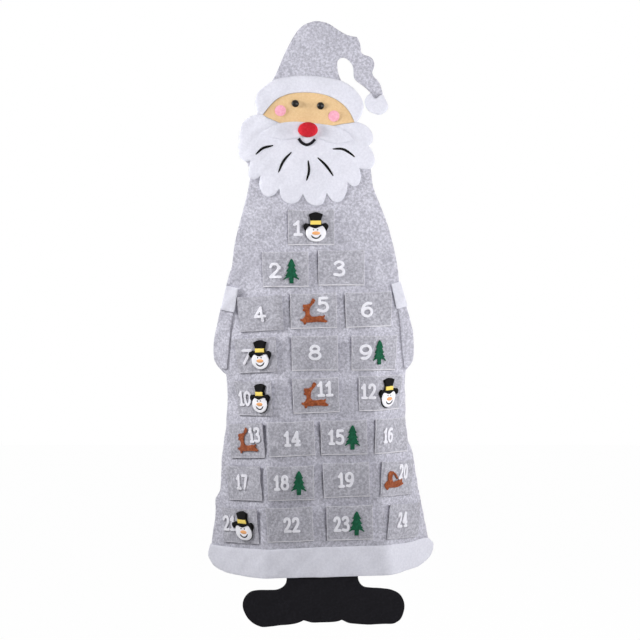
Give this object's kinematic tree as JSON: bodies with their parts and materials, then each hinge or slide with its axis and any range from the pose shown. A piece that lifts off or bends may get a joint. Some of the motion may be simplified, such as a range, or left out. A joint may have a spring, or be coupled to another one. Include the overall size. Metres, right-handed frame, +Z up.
{
  "type": "fabric advent calendar",
  "caption": "Felt Father Christmas wall hanging with a pouch pocket for each day of advent, to be filled with small gifts.",
  "frame": {"origin": "on the flat back of the hat, where the figure hangs", "axes": "+X to the right as seen from the front, +Y back to the wall, +Z up"},
  "size_m": [0.3866, 0.0973, 1],
  "materials": {
    "felt_grey_backing": "mottled grey needle felt",
    "felt_grey_sleeve": "mottled grey needle felt",
    "felt_grey_pocket": "mottled grey needle felt",
    "felt_white": "white needle felt",
    "felt_skin": "skin-coloured needle felt",
    "felt_pink": "pink needle felt",
    "felt_red": "padded red felt",
    "felt_black": "black needle felt",
    "felt_green": "green needle felt",
    "felt_brown": "orange-brown needle felt",
    "bead_black": "polished domed bead",
    "snowman": "moulded foam rubber in black, white, yellow and orange"
  },
  "bodies": {
    "root": {"backing": "felt_grey_backing", "hat_brim": "felt_white", "pompom": "felt_white", "beard": "felt_white", "moustache": "felt_white", "cuff_left": "felt_white", "cuff_right": "felt_white", "hem_band": "felt_white", "face": "felt_skin", "cheek_left": "felt_pink", "cheek_right": "felt_pink", "nose": "felt_red", "mouth": "felt_black", "boots": "felt_black", "eye_left": "bead_black", "eye_right": "bead_black", "forearm_left": "felt_grey_sleeve", "forearm_right": "felt_grey_sleeve", "pocket_01": "felt_grey_pocket", "pocket_02": "felt_grey_pocket", "pocket_03": "felt_grey_pocket", "pocket_04": "felt_grey_pocket", "pocket_05": "felt_grey_pocket", "pocket_06": "felt_grey_pocket", "pocket_07": "felt_grey_pocket", "pocket_08": "felt_grey_pocket", "pocket_09": "felt_grey_pocket", "pocket_10": "felt_grey_pocket", "pocket_11": "felt_grey_pocket", "pocket_12": "felt_grey_pocket", "pocket_13": "felt_grey_pocket", "pocket_14": "felt_grey_pocket", "pocket_15": "felt_grey_pocket", "pocket_16": "felt_grey_pocket", "pocket_17": "felt_grey_pocket", "pocket_18": "felt_grey_pocket", "pocket_19": "felt_grey_pocket", "pocket_20": "felt_grey_pocket", "pocket_21": "felt_grey_pocket", "pocket_22": "felt_grey_pocket", "pocket_23": "felt_grey_pocket", "pocket_24": "felt_grey_pocket", "snowman_01": "snowman", "snowman_07": "snowman", "snowman_10": "snowman", "snowman_12": "snowman", "snowman_21": "snowman", "tree_02": "felt_green", "tree_09": "felt_green", "tree_15": "felt_green", "tree_18": "felt_green", "tree_23": "felt_green", "reindeer_05": "felt_brown", "reindeer_11": "felt_brown", "reindeer_13": "felt_brown", "reindeer_20": "felt_brown"}
  },
  "joints": []
}
